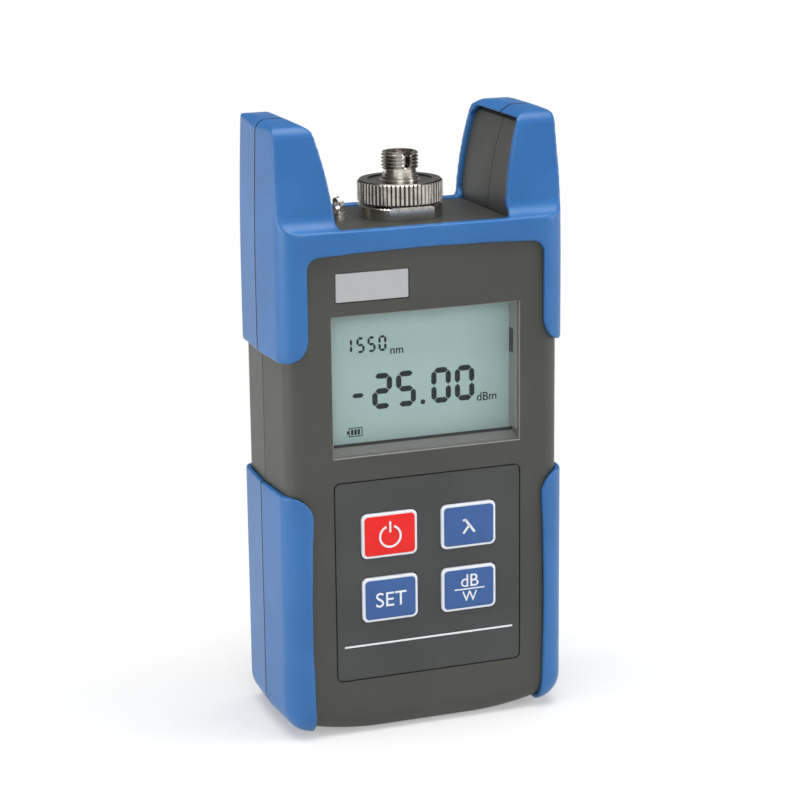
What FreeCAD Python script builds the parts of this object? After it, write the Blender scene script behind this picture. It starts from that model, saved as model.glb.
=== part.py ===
import FreeCAD, Part
import math
import os

V = FreeCAD.Vector
X, Y, Z = V(1, 0, 0), V(0, 1, 0), V(0, 0, 1)
ORIGIN = V(0, 0, 0)

# Handheld optical power meter, standing on its foot. X is to the right seen from the front,
# Y points to the back with the parting plane at y = 0, Z is up from the ground. Millimetres.

# Housing: two moulded halves parted at y = 0
half_width = 31.5          # at the parting plane
half_depth = 15.5          # parting plane to the front or rear face
side_draft = 0.9           # the faces are this much narrower, each side, than the parting plane
front_edge_round, rear_edge_round = 4.5, 3.6
wall = 2.0
lip_thick, lip_reach, lip_clear = 0.9, 1.2, 0.12
seam = 0.12                # half of the line between the two halves
foot_radius = 69.0         # the lower end rises to its corners on long arcs, from a flat to stand on
foot_flat = 10.0           # half length of that flat
foot_corner = 5.0

# Horns that guard the connector
horn_top = 131.3
horn_taper_start = 98.0
horn_taper = 0.8
horn_inner_low, horn_inner_mid, horn_inner_high = 20.15, 21.45, 23.95
horn_inner_low_z, horn_inner_mid_z = 111.0, 121.0
horn_tip = ((0.0, -1.7), (1.2, -0.9), (3.6, 0.3))     # the inner face rolls outwards to the top
ledge_z = 109.55           # top edge of the housing between the horns
horn_face_low, horn_face_high = 11.65, 9.55     # scooped front faces, distance from the parting plane
scoop_round = 5.35
horn_top_round = 2.3
horn_side_round = 1.4
block_top = 140.0
horn_arch = 0.45           # the horn's top falls by this much from the parting plane to the front
horn_rear_fall = 0.4       # and by this much to the rear

# Soft bumpers, moulded over the housing
bumper = 1.15
upper_bumper_z = 83.3
upper_window_x, upper_window_z = 26.4, 106.1
upper_window_round = 2.6
upper_window_arch = 0.6
lower_bumper_z = 54.6
lower_bumper_x, lower_bumper_waist, lower_bumper_foot = 26.0, 26.6, 25.6
bumper_end_round = 5.2

# Front face
window_x, window_low, window_high = 21.1, 62.2, 92.6
window_sill = 2.07         # the sill slopes up by this much towards the display
window_edge = 0.2          # chamfer round its mouth
display_y = -10.5
lens_thick = 1.0
lens_recess = 0.35
overlay_x, overlay_low, overlay_high = 21.0, 12.6, 56.6
overlay_thick = 0.6
overlay_gap = 0.3
badge_left, badge_right, badge_low, badge_high = -20.1, -3.95, 95.6, 101.75
badge_thick = 0.4
badge_gap = 0.15
key_w, key_h = 12.6, 9.9
key_x = 9.05
key_rows = (44.45, 30.2)
key_gap = 0.2
key_proud = 0.5
key_edge = 0.35            # the rounding of a key's front edge
key_travel = 0.5

# Connector panel, connector and its ring
panel_z = 110.2
panel_y = 14.2
panel_thick = 2.0
panel_tongue = 1.2
base_r, base_flats = 9.0, 15.0
base_top = 113.0
boss_r, boss_top = 6.0, 115.6
stud_r = 5.5
optic_r = 1.5
ring_r, ring_low, ring_high = 9.1, 113.3, 118.1
ring_flutes = 60
flute_deep = 0.3
ring_web = 1.15
thread_clear = 0.1
sleeve_r, sleeve_low, sleeve_high = 4.0, 120.3, 123.95    # M8 x 0.75 threaded sleeve
neck_r = 3.45
hub_r = 4.5
key_slot = 2.1
key_slot_turn = 7.0        # the slot looks this much to the right of the front, in degrees
eyelet_x = -13.7
ferrule_r = 1.26

# Battery bay in the rear half: three AA cells side by side
cell_r, cell_length, cell_pitch = 7.1, 49.2, 14.7
cell_nub, spring_length = 1.0, 2.0
cell_y = 6.1
bay_x, bay_low, bay_high = 22.3, 24.7, 77.2
bay_floor = -1.2
bay_wall = 1.2
door_x, door_low, door_high = 23.0, 19.4, 80.0
door_thick = 2.0
door_gap = 0.25

# Circuit board and fasteners
board_x, board_low, board_high = 26.0, 15.5, 94.0
board_front, board_back = -6.0, -4.4
board_screws = ((-23.6, 19.5), (23.6, 19.5), (-23.6, 57.0), (23.6, 57.0))
case_screws = ((-21.5, 99.0), (21.5, 99.0), (-19.5, 9.6), (19.5, 9.6))
boss_outer, insert_r, screw_r = 3.2, 2.0, 1.25
screw_head_r, screw_head = 2.3, 1.6


def save(name, shape):
    """Writes one sub-part as parts/NAME.step and reports its size."""
    if not shape.isValid():
        print("invalid", name)
    shape.exportStep("parts/" + name + ".step")
    print(name, len(shape.Solids), "solid(s)", round(shape.Volume, 1), "mm3")


def box(x1, x2, y1, y2, z1, z2):
    return Part.makeBox(x2 - x1, y2 - y1, z2 - z1, V(x1, y1, z1))


def disc(radius, z1, z2, x=0.0, y=0.0):
    """Upright cylinder."""
    return Part.makeCylinder(radius, z2 - z1, V(x, y, z1), Z)


def rod(radius, y1, y2, x, z):
    """Cylinder along Y."""
    return Part.makeCylinder(radius, y2 - y1, V(x, y1, z), Y)


def ring(outer, inner, z1, z2):
    return disc(outer, z1, z2).cut(disc(inner, z1 - 1, z2 + 1))


def line(a, b):
    return Part.LineSegment(a, b).toShape()


def arc(a, b, c):
    return Part.Arc(a, b, c).toShape()


def prism(edges, start, direction):
    """Solid swept along direction from a closed outline, the outline first moved by start."""
    face = Part.Face(Part.Wire(Part.__sortEdges__(edges)))
    face.translate(start)
    return face.extrude(direction)


def polygon_prism(points, direction):
    return Part.Face(Part.makePolygon(points + [points[0]])).extrude(direction)


def mirror_x(shape):
    return shape.mirror(ORIGIN, X)


def mirror_y(shape):
    return shape.mirror(ORIGIN, Y)


def fuse_all(shapes):
    return shapes[0].multiFuse(shapes[1:]).removeSplitter() if len(shapes) > 1 else shapes[0]


def rounded_plate(x1, x2, y1, y2, z1, z2, radius):
    """Plate whose broad face looks along Y, with its four corners rounded."""
    plate = box(x1, x2, y1, y2, z1, z2)
    corners = [e for e in plate.Edges if abs(e.tangentAt(e.FirstParameter).y) > 0.99]
    return plate.makeFillet(radius, corners)


# ---------------------------------------------------------------- housing form

def front_outline(grow, inset):
    """Front view: arched foot, rounded lower corners, sides that lean in up the horns; inset narrows it."""
    w = half_width + grow - inset
    foot_r, corner_r = foot_radius + grow, foot_corner + grow
    corner_x = w - corner_r
    corner_z = foot_radius - math.sqrt((foot_r - corner_r) ** 2 - (corner_x - foot_flat) ** 2)
    lean = math.atan2(foot_radius - corner_z, corner_x - foot_flat)
    taper_r = (horn_top - horn_taper_start) ** 2 / (2 * horn_taper)

    def on_foot(angle):
        return V(foot_flat + foot_r * math.cos(angle), 0, foot_radius - foot_r * math.sin(angle))

    def on_corner(angle):
        return V(corner_x + corner_r * math.cos(angle), 0, corner_z - corner_r * math.sin(angle))

    def on_side(z):
        rise = z - horn_taper_start
        return V(w - taper_r + math.sqrt(taper_r ** 2 - rise ** 2), 0, z)

    upright = math.pi / 2
    right = [arc(on_foot(upright), on_foot((upright + lean) / 2), on_foot(lean)),
             arc(on_foot(lean), on_corner(lean / 2), on_corner(0)),
             line(on_corner(0), on_side(horn_taper_start)),
             arc(on_side(horn_taper_start), on_side(120), on_side(block_top))]
    left = [mirror_x(e) for e in right]
    foot = line(on_foot(upright), V(-foot_flat, 0, -grow))
    roof = line(on_side(block_top), V(-on_side(block_top).x, 0, block_top))
    return Part.Wire(Part.__sortEdges__(right + left + [roof, foot]))


def half_block(grow, edge_round):
    """Drafted block of the front outline, from the parting plane to the front face, its rim rounded."""
    d = half_depth + grow
    middle, face = front_outline(grow, 0), front_outline(grow, side_draft)
    face.translate(V(0, -d, 0))
    half = Part.makeLoft([middle, face], True, True)
    rim = [e for e in half.Edges if abs(e.CenterOfMass.y + d) < 1e-6 and e.CenterOfMass.z < block_top - 1]
    return half.makeFillet(edge_round + grow, rim)


def block(grow):
    """Both halves of the housing's block, rounded over at the top where the horns end."""
    front, rear = half_block(grow, front_edge_round), mirror_y(half_block(grow, rear_edge_round))
    crest_r = max(horn_side_round + grow, 0.4)
    crest_x, crest_z = half_width + grow - horn_taper - crest_r, horn_top + grow - crest_r
    crests = [Part.makeCylinder(crest_r, 60, V(side * crest_x, -30, crest_z), Y) for side in (-1, 1)]
    between_crests = box(-crest_x, crest_x, -30, 30, 0, crest_z + crest_r)
    crown = fuse_all(crests + [box(-50, 50, -30, 30, -10, crest_z), between_crests])
    return front.fuse(rear).common(crown)


def side_prism(grow):
    """Side view: full depth up to the ledge, then horns scooped in front, straight behind, arched on top."""
    d, ledge, top = half_depth + grow, ledge_z + grow, horn_top + grow
    low, high = horn_face_low + grow, horn_face_high + grow
    scoop, crest = scoop_round - grow, horn_top_round + grow
    scoop_y, scoop_z = low + scoop, ledge + scoop
    start = math.acos((scoop_y - d) / scoop)
    crest_y, rear_crest_y = high - crest, d - crest
    shoulder_z = top - horn_arch
    rear_z = top - horn_rear_fall
    diagonal = math.sqrt(0.5)

    on_scoop = V(0, -d, scoop_z - scoop * math.sin(start))
    in_scoop = V(0, -scoop_y + scoop * diagonal, scoop_z - scoop * diagonal)
    foot_of_horn = V(0, -low, scoop_z)
    head_of_horn = V(0, -high, shoulder_z - crest)
    on_crest = V(0, -crest_y - crest * diagonal, shoulder_z - crest + crest * diagonal)
    shoulder = V(0, -crest_y, shoulder_z)
    on_rear_crest = V(0, rear_crest_y + crest * diagonal, rear_z - crest + crest * diagonal)
    rear_shoulder, rear_head = V(0, rear_crest_y, rear_z), V(0, d, rear_z - crest)
    edges = [line(V(0, -d, -10), on_scoop), arc(on_scoop, in_scoop, foot_of_horn),
             line(foot_of_horn, head_of_horn), arc(head_of_horn, on_crest, shoulder),
             arc(shoulder, V(0, 0, top), rear_shoulder), arc(rear_shoulder, on_rear_crest, rear_head),
             line(rear_head, V(0, d, -10)), line(V(0, d, -10), V(0, -d, -10))]
    return prism(edges, V(-50, 0, 0), V(100, 0, 0))


def notch(grow):
    """Space between the horns, bowed outwards towards their tips."""
    floor = ledge_z + grow
    low, mid, high = (x - grow for x in (horn_inner_low, horn_inner_mid, horn_inner_high))
    root = V(low, 0, horn_inner_low_z)
    tip, tip_bend, tip_end = (V(high + x, 0, horn_top + grow + z) for x, z in horn_tip)
    above = V(tip_end.x, 0, 150)
    right = [line(V(low, 0, floor), root), arc(root, V(mid, 0, horn_inner_mid_z), tip),
             arc(tip, tip_bend, tip_end), line(tip_end, above)]
    left = [mirror_x(e) for e in right]
    across = [line(V(low, 0, floor), V(-low, 0, floor)), line(above, V(-above.x, 0, above.z))]
    return prism(right + left + across, V(0, -30, 0), V(0, 60, 0))


forms = {}


def housing_form(grow):
    """The whole housing as one solid, its surface moved outwards by grow."""
    if grow not in forms:
        forms[grow] = block(grow).common(side_prism(grow)).cut(notch(grow))
    return forms[grow]


def front_side(shape):
    return shape.common(box(-50, 50, -40, -seam, -20, 160))


def rear_side(shape):
    return shape.common(box(-50, 50, seam, 40, -20, 160))


# ---------------------------------------------------------------- bumpers

def upper_bumper():
    """Skin over both horns, joined by a bar across each face; open on the horns' inner sides."""
    skin = housing_form(bumper).cut(housing_form(0))
    skin = skin.common(box(-50, 50, -40, 40, upper_bumper_z, 160))
    x, z, r, e = upper_window_x, upper_window_z, upper_window_round, bumper_end_round
    side = x + e
    corner = z - r - upper_window_arch
    diagonal = math.sqrt(0.5)
    right = [line(V(side, 0, 60), V(side, 0, upper_bumper_z)),
             arc(V(side, 0, upper_bumper_z), V(side - e * diagonal, 0, upper_bumper_z + e - e * diagonal),
                 V(x, 0, upper_bumper_z + e)),
             line(V(x, 0, upper_bumper_z + e), V(x, 0, corner)),
             arc(V(x, 0, corner), V(x - r + r * diagonal, 0, corner + r * diagonal), V(x - r, 0, corner + r))]
    left = [mirror_x(e) for e in right]
    crown = arc(V(x - r, 0, corner + r), V(0, 0, z), V(r - x, 0, corner + r))
    base = line(V(side, 0, 60), V(-side, 0, 60))
    skin = skin.cut(prism(right + left + [crown, base], V(0, -30, 0), V(0, 60, 0)))
    front_low, front_high = horn_face_low, horn_face_high - 0.1
    rear, rear_high = half_depth - 0.1, half_depth - horn_top_round
    inner_faces = ((panel_y, 100), (panel_y, 111.2), (rear, 111.8), (rear, 128.6), (rear_high, 130.6),
                   (-front_high, 130.6), (-front_low, 112.6), (-panel_y, 111.2), (-panel_y, 100))
    return skin.cut(polygon_prism([V(-26, y, z) for y, z in inner_faces], V(52, 0, 0)))


def lower_bumper():
    """Skin over the right-hand side and lower corner."""
    skin = housing_form(bumper).cut(housing_form(0))
    e, x = bumper_end_round, lower_bumper_x
    diagonal = math.sqrt(0.5)
    top = lower_bumper_z
    outline = [arc(V(lower_bumper_foot, 0, -5), V(lower_bumper_waist, 0, 26), V(x, 0, top - e)),
               arc(V(x, 0, top - e), V(x + e - e * diagonal, 0, top - e + e * diagonal), V(x + e, 0, top)),
               line(V(x + e, 0, top), V(40, 0, top)),
               line(V(40, 0, top), V(40, 0, -5)),
               line(V(40, 0, -5), V(lower_bumper_foot, 0, -5))]
    return skin.common(prism(outline, V(0, -30, 0), V(0, 60, 0)))


# ---------------------------------------------------------------- covers

def panel_slot(clear):
    """The connector panel's plate and the tongue that the covers close over, grown by clear."""
    x, y = horn_inner_low - 0.1 + clear, panel_y + clear
    under = panel_z - panel_thick
    top = box(-x, x, -y, y, under - clear, panel_z + 5 * clear)
    tongue = box(-x - 1.5, x + 1.5, -y + 1.5, y - 1.5, under - panel_tongue - clear, under + 0.4 + clear)
    return top.fuse(tongue)


def screw_boss(x, z, y1, y2):
    return rod(boss_outer, y1, y2, x, z)


def keys():
    return [(sign * key_x, z) for z in key_rows for sign in (-1, 1)]


def round_the_window(p):
    on_side = abs(abs(p.x) - window_x) < 0.01 and window_low < p.z < window_high
    on_end = abs(p.x) < 0.01 and min(abs(p.z - window_low), abs(p.z - window_high)) < 0.01
    return abs(p.y + half_depth) < 0.01 and (on_side or on_end)


def front_cover():
    """Front half: display window, keypad recess, badge recess, bosses for the board and the case screws."""
    form = housing_form(0)
    body = front_side(form.cut(housing_form(-wall)))
    inner = -half_depth + wall
    core = front_side(housing_form(-wall))
    bosses = [screw_boss(x, z, inner - 0.5, -seam) for x, z in case_screws]
    bosses += [rod(2.4, inner - 0.5, board_front, x, z) for x, z in board_screws]
    bosses = [b.common(core.fuse(body)) for b in bosses]
    # Well that carries the display: a short tube behind the window
    well = box(-window_x - 1.6, window_x + 1.6, inner - 0.5, display_y, window_low - 1.6, window_high + 1.6)
    body = fuse_all([body] + bosses + [well])
    mouth, lens_back, well_end = -half_depth - 1, -half_depth + lens_recess + lens_thick, display_y + 1
    window = ((mouth, window_low), (lens_back, window_low), (well_end, window_low + window_sill),
              (well_end, window_high), (mouth, window_high))
    body = body.cut(polygon_prism([V(-window_x, y, z) for y, z in window], V(2 * window_x, 0, 0)))
    body = body.makeChamfer(window_edge, [e for e in body.Edges if round_the_window(e.CenterOfMass)])
    recess_x = overlay_x + overlay_gap
    body = body.cut(rounded_plate(-recess_x, recess_x, -half_depth - 1, -half_depth + overlay_thick,
                                  overlay_low - overlay_gap, overlay_high + overlay_gap, 1.4))
    for x, z in keys():
        hole = rounded_plate(x - key_w / 2 - key_gap, x + key_w / 2 + key_gap, -half_depth - 1, inner + 1,
                             z - key_h / 2 - key_gap, z + key_h / 2 + key_gap, 1.5)
        body = body.cut(hole)
    body = body.cut(rounded_plate(badge_left - badge_gap, badge_right + badge_gap, -half_depth - 1,
                                  -half_depth + badge_thick, badge_low - badge_gap, badge_high + badge_gap, 0.3))
    body = body.cut(panel_slot(0.05))
    for x, z in case_screws:
        body = body.cut(rod(insert_r, -seam - 6, 0, x, z)).cut(rod(screw_r + 0.2, -seam - 9, 0, x, z))
    for x, z in board_screws:
        body = body.cut(rod(0.8, board_front - 5, board_front + 1, x, z))
    return body


def parting_lip(core):
    """Lip along the parting line, rooted in the rear half's wall and lapping inside the front half."""
    opening = Part.Face(core.slice(Y, 0.0)[0])
    inner = opening.makeOffset2D(-lip_clear - lip_thick)
    root = opening.makeOffset2D(0.4).cut(inner)
    root.translate(V(0, seam, 0))
    tongue = opening.makeOffset2D(-lip_clear).cut(inner)
    tongue.translate(V(0, -lip_reach, 0))
    return root.extrude(V(0, 1.4, 0)).fuse(tongue.extrude(V(0, lip_reach + 1.4, 0)))


def rear_cover():
    """Rear half: battery bay with its door opening, screw towers, and the lip lapping into the front half."""
    form = housing_form(0)
    core = housing_form(-wall)
    body = rear_side(form.cut(core))
    lip = parting_lip(core)
    lip = lip.cut(box(-horn_inner_low, horn_inner_low, -5, 5, 90, 160)).cut(panel_slot(1.2))
    towers = [screw_boss(x, z, 0.5 + seam, half_depth - 0.5).common(core.fuse(body)) for x, z in case_screws]
    bay = box(-bay_x - bay_wall, bay_x + bay_wall, bay_floor - bay_wall, half_depth - wall + 0.3,
              bay_low - bay_wall, bay_high + bay_wall)
    bay = bay.cut(box(-bay_x, bay_x, bay_floor, half_depth, bay_low, bay_high))
    web = [box(side * (bay_x + bay_wall), side * (bay_x + bay_wall) + 6.5, 2.0, half_depth - 1, z, z + 1.2)
           for side in (1,) for z in (34.0, 64.0)]
    web += [mirror_x(w) for w in web]
    web = [w.common(core.fuse(body)) for w in web]
    body = fuse_all([body, bay] + towers + web + [lip])
    body = body.cut(box(-door_x - door_gap, door_x + door_gap, half_depth - door_thick - 0.05, half_depth + 1,
                        door_low - door_gap, door_high + door_gap))
    throat = box(-bay_x, bay_x, bay_floor, half_depth + 1, bay_low, bay_high)
    body = body.cut(throat)
    body = body.cut(box(-door_x + 2, door_x - 2, half_depth - wall - 0.5, half_depth + 1, door_low - door_gap,
                        bay_low - bay_wall - 0.2))
    body = body.cut(panel_slot(0.05))
    for x, z in case_screws:
        body = body.cut(rod(screw_head_r + 0.3, half_depth - 5, half_depth + 1, x, z))
        body = body.cut(rod(screw_r + 0.25, -1, half_depth, x, z))
        body = body.cut(rod(boss_outer + 0.2, -2, seam + 0.5, x, z))
    return body


# ---------------------------------------------------------------- front face pieces

def badge_plate():
    y = -half_depth
    plate = rounded_plate(badge_left, badge_right, y + 0.03, y + badge_thick, badge_low, badge_high, 0.25)
    rim = [e for e in plate.Edges if e.CenterOfMass.y < y + 0.05]
    return plate.makeChamfer(0.12, rim)


def display_lens():
    """Clear sheet let into the window."""
    front = -half_depth + lens_recess
    return rounded_plate(-window_x + 0.05, window_x - 0.05, front, front + lens_thick,
                         window_low + 0.05, window_high - 0.05, 0.5)


def display_cell():
    """Liquid crystal cell: two glass sheets, the rear one longer at its contact edge."""
    front = box(-22.0, 22.0, display_y + 0.05, display_y + 1.0, window_low + 0.6, window_high + 0.9)
    rear = box(-22.0, 22.0, display_y + 1.0, display_y + 1.9, window_low - 1.4, window_high + 0.9)
    return front.fuse(rear).removeSplitter()


def display_frame():
    """Moulded frame that carries the cell on the board, open at its contact edge."""
    y1, y2 = display_y + 0.3, board_front
    frame = box(-23.6, 23.6, y1, y2, window_low - 2.4, window_high + 2.0)
    frame = frame.cut(box(-22.1, 22.1, y1 - 1, display_y + 1.95, window_low - 1.5, window_high + 1.0))
    frame = frame.cut(box(-21.0, 21.0, y1 - 1, y2 + 1, window_low + 5.2, window_high - 0.2))
    contact = box(-20.4, 20.4, y1, y2 + 1, window_low - 1.2, window_low + 1.2)
    return frame.cut(contact)


def backlight():
    """Light guide behind the cell, with its lamp at one side."""
    y1, y2 = display_y + 2.0, board_front - 0.1
    return rounded_plate(-20.9, 20.9, y1, y2, window_low + 5.3, window_high - 0.3, 0.6)


def contact_strip():
    """Elastomer strip that joins the cell's contacts to the board."""
    return box(-20.3, 20.3, display_y + 1.95, board_front, window_low - 1.1, window_low + 1.1)


def keypad_overlay():
    """Printed sheet round the keys."""
    y = -half_depth
    sheet = rounded_plate(-overlay_x, overlay_x, y, y + overlay_thick - 0.02, overlay_low, overlay_high, 1.2)
    for x, z in keys():
        sheet = sheet.cut(rounded_plate(x - key_w / 2 - key_gap, x + key_w / 2 + key_gap, y - 1, y + 1,
                                        z - key_h / 2 - key_gap, z + key_h / 2 + key_gap, 1.5))
    return sheet


def key_cap(x, z):
    """Key: rounded cap with a soft front edge, a retaining flange inside and a stem on its switch."""
    y = -half_depth
    cap = rounded_plate(x - key_w / 2, x + key_w / 2, y - key_proud, y + wall + 0.6,
                        z - key_h / 2, z + key_h / 2, 1.3)
    rim = [e for e in cap.Edges if e.CenterOfMass.y < y - key_proud + 0.01]
    cap = cap.makeFillet(key_edge, rim)
    back = y + wall + 0.3
    flange = rounded_plate(x - key_w / 2 - 0.8, x + key_w / 2 + 0.8, back, back + 0.8,
                           z - key_h / 2 - 0.8, z + key_h / 2 + 0.8, 1.8)
    stem = rod(1.6, back + 0.5, switch_top() - key_travel, x, z)
    return fuse_all([cap, flange, stem])


def switch_top():
    """The end of a switch's plunger, which a fully pressed key's stem all but reaches."""
    return board_front - 3.8


def tact_switch(x, z):
    """Board switch: square body with a round plunger."""
    body = box(x - 3, x + 3, board_front - 3.0, board_front, z - 3, z + 3)
    body = body.makeChamfer(0.4, [e for e in body.Edges if abs(e.tangentAt(e.FirstParameter).y) > 0.99])
    plunger = rod(1.75, switch_top() + 0.1, board_front - 2.9, x, z)
    return body.fuse(plunger).removeSplitter()


# ---------------------------------------------------------------- connector

def connector_panel():
    """Plate between the horns, with a tongue held between the two covers."""
    plate = panel_slot(0)
    top_edges = [e for e in plate.Edges if abs(e.CenterOfMass.z - panel_z) < 1e-6]
    plate = plate.makeChamfer(0.25, top_edges)
    return plate.cut(disc(stud_r + 0.1, 100, 120)).cut(disc(0.85, 100, 120, eyelet_x))


def connector_base():
    """Turned base: flange with two flats, a boss for the ring's thread, and a stud through the panel."""
    flange = disc(base_r, panel_z, base_top)
    flange = flange.makeChamfer(0.35, [e for e in flange.Edges if abs(e.CenterOfMass.z - base_top) < 1e-6])
    flange = flange.common(box(-20, 20, -base_flats / 2, base_flats / 2, 100, 130))
    boss = disc(boss_r, base_top - 0.5, boss_top)
    boss = boss.makeChamfer(0.4, [e for e in boss.Edges if abs(e.CenterOfMass.z - boss_top) < 1e-6])
    stud = disc(stud_r, panel_z - 7.4, panel_z + 0.5)
    body = fuse_all([flange, boss, stud])
    return body.cut(disc(optic_r, 90, 130)).cut(disc(2.75, 90, panel_z - 1.2))


def base_washer():
    z = panel_z - panel_thick - panel_tongue
    return ring(7.4, stud_r + 0.1, z - 0.5, z)


def base_nut():
    z = panel_z - panel_thick - panel_tongue - 0.5
    corners = [math.radians(60 * i) for i in range(6)]
    points = [V(8.1 * math.cos(a), 8.1 * math.sin(a), z - 2.6) for a in corners]
    nut = polygon_prism(points, V(0, 0, 2.6))
    crowned = disc(8.0, z - 2.6, z)
    crowned = crowned.makeChamfer(0.7, [e for e in crowned.Edges if abs(e.CenterOfMass.z - (z - 2.6)) < 1e-6])
    return nut.common(crowned).cut(disc(stud_r, z - 5, z + 1))


def coupling_ring():
    """Knurled ring with straight flutes, screwed on the base's boss; its web holds the adapter's flange."""
    points = []
    for i in range(ring_flutes):
        for share, radius in ((0.0, ring_r), (0.42, ring_r), (0.71, ring_r - flute_deep)):
            a = 2 * math.pi * (i + share) / ring_flutes
            points.append(V(radius * math.cos(a), radius * math.sin(a), ring_low))
    knurled = polygon_prism(points, V(0, 0, ring_high - ring_low))
    blank = disc(ring_r + 0.1, ring_low, ring_high)
    rims = [e for e in blank.Edges if abs(e.CenterOfMass.z - (ring_low + ring_high) / 2) > 1]
    blank = blank.makeChamfer(0.5, rims)
    body = knurled.common(blank)
    body = body.cut(disc(boss_r + thread_clear, ring_low - 1, ring_high - ring_web))
    body = body.cut(disc(hub_r + 0.15, ring_low, ring_high + 1))
    return body.cut(ring(6.9, 4.0, ring_high - 0.2, ring_high + 1))


def fibre_adapter():
    """Threaded receptacle: flange under the ring, two collars, neck, sleeve with key slot, ferrule post."""
    floor = boss_top + 0.05
    flange_top = ring_high - ring_web - 0.05
    z = ring_high
    steps = [(5.8, floor, flange_top), (hub_r, floor, z - 0.15), (3.85, z - 0.3, z + 0.55),
             (neck_r, z + 0.4, z + 0.8), (3.7, z + 0.75, z + 1.3), (neck_r, z + 1.2, sleeve_low + 0.2)]
    sleeve = disc(sleeve_r, sleeve_low, sleeve_high)
    sleeve = sleeve.makeChamfer(0.35, [e for e in sleeve.Edges if e.Length > 20 and e.Closed])
    body = fuse_all([disc(r, a, b) for r, a, b in steps] + [sleeve])
    body = body.cut(disc(2.95, sleeve_low - 0.6, sleeve_high + 1))
    post = disc(2.1, sleeve_low - 1, sleeve_high - 0.9)
    post = post.makeChamfer(0.25, [e for e in post.Edges if e.CenterOfMass.z > sleeve_high - 1 and e.Closed])
    body = body.fuse(post).cut(disc(ferrule_r, floor - 1, sleeve_high))
    slot_end = sleeve_low + 1.5
    slot = box(2.5, 6, -key_slot / 2, key_slot / 2, slot_end, sleeve_high + 1)
    slot = slot.fuse(Part.makeCylinder(key_slot / 2, 3.5, V(2.5, 0, slot_end), X))
    body = body.cut(slot).removeSplitter()
    body.rotate(ORIGIN, Z, key_slot_turn - 90)
    return body


def tether_eyelet():
    """Small post with two collars and a loop of flat band that leans outwards, for a dust cap's strap."""
    x, z = eyelet_x, panel_z
    collars = [disc(1.55, z, z + 0.75, x), disc(1.1, z + 0.7, z + 1.0, x), disc(1.3, z + 0.9, z + 1.5, x),
               disc(0.75, z - 3.4, z + 2.1, x)]
    loop = ring(1.6, 1.15, -0.5, 0.5)
    loop.rotate(ORIGIN, Y, 75)
    loop.rotate(ORIGIN, Z, 13)
    loop.translate(V(x - 0.1, 0, z + 3.25))
    return fuse_all(collars + [loop])


def detector():
    """Photodiode in a metal can, its window at the foot of the base's bore."""
    z = panel_z - 1.3
    can = disc(2.35, z - 3.0, z)
    header = disc(2.7, z - 3.9, z - 3.0)
    legs = [disc(0.23, z - 12.4, z - 3.5, 1.27 * math.cos(a), 1.27 * math.sin(a)) for a in (0.6, 2.7, 4.8)]
    return fuse_all([can, header] + legs)


def detector_board():
    """Small round board that carries the detector and plugs to the main board."""
    z = panel_z - 10.6
    plate = disc(8.0, z - 1.2, z)
    for a in (0.6, 2.7, 4.8):
        plate = plate.cut(disc(0.25, z - 3, z + 1, 1.27 * math.cos(a), 1.27 * math.sin(a)))
    return plate.common(box(-20, 20, board_back + 0.2, 12, 80, 120))


# ---------------------------------------------------------------- board and battery

def main_board():
    board = rounded_plate(-board_x, board_x, board_front, board_back, board_low, board_high, 1.5)
    for x, z in board_screws:
        board = board.cut(rod(1.1, board_front - 1, board_back + 1, x, z))
    return board


def board_chips():
    """Processor, converter, amplifier and regulator packages on the back of the board."""
    places = ((0.0, 86.0, 7.0, 7.0), (14.0, 87.0, 5.0, 4.0), (-14.0, 86.0, 5.0, 6.2), (20.5, 80.5, 3.0, 4.5))
    chips = []
    for x, z, w, h in places:
        chip = box(x - w / 2, x + w / 2, board_back, board_back + 1.2, z - h / 2, z + h / 2)
        back = [e for e in chip.Edges if e.CenterOfMass.y > board_back + 1.1]
        chips.append(chip.makeChamfer(0.2, back))
    return Part.makeCompound(chips)


def small_screw(x, z):
    """Self-tapping screw that holds the board."""
    head = rod(1.9, board_back, board_back + 1.1, x, z)
    head = head.makeChamfer(0.5, [e for e in head.Edges if e.Closed and e.CenterOfMass.y > board_back + 1])
    return head.fuse(rod(0.8, board_front - 4.6, board_back + 0.1, x, z)).removeSplitter()


def case_screw(x, z):
    """Machine screw from the rear into the insert, with a cross recess."""
    seat = half_depth - 5
    head = rod(screw_head_r, seat, seat + screw_head, x, z)
    top = seat + screw_head
    head = head.makeChamfer(0.5, [e for e in head.Edges if e.Closed and e.CenterOfMass.y > top - 0.1])
    screw = head.fuse(rod(screw_r, -seam - 5.4, seat + 0.1, x, z))
    for w, h in ((2.4, 0.6), (0.6, 2.4)):
        screw = screw.cut(box(x - w / 2, x + w / 2, top - 0.9, top + 1, z - h / 2, z + h / 2))
    return screw


def threaded_insert(x, z):
    """Brass insert in the front cover's boss."""
    body = rod(insert_r, -seam - 6, -seam, x, z)
    groove = rod(insert_r + 0.5, -seam - 3.6, -seam - 2.6, x, z)
    groove = groove.cut(rod(insert_r - 0.3, -seam - 4, -seam - 2, x, z))
    return body.cut(groove).cut(rod(screw_r, -seam - 7, 1, x, z))


def from_bay_end(x, upright, near, far, make):
    """A piece of the battery bay laid out from its lower end, or from its upper end when turned over."""
    piece = make(near, far)
    if not upright:
        piece = piece.mirror(V(0, 0, (bay_low + bay_high) / 2), Z)
    piece.translate(V(x, cell_y, 0))
    return piece


def battery_cell(x, upright):
    """AA cell: rounded can with its raised terminal."""
    def make(low, high):
        can = disc(cell_r, low, high)
        can = can.makeChamfer(0.5, [e for e in can.Edges if e.Closed])
        return can.fuse(disc(2.7, high - 0.1, high + cell_nub))
    flat_end = bay_low + spring_length
    return from_bay_end(x, upright, flat_end, flat_end + cell_length, make)


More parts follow.
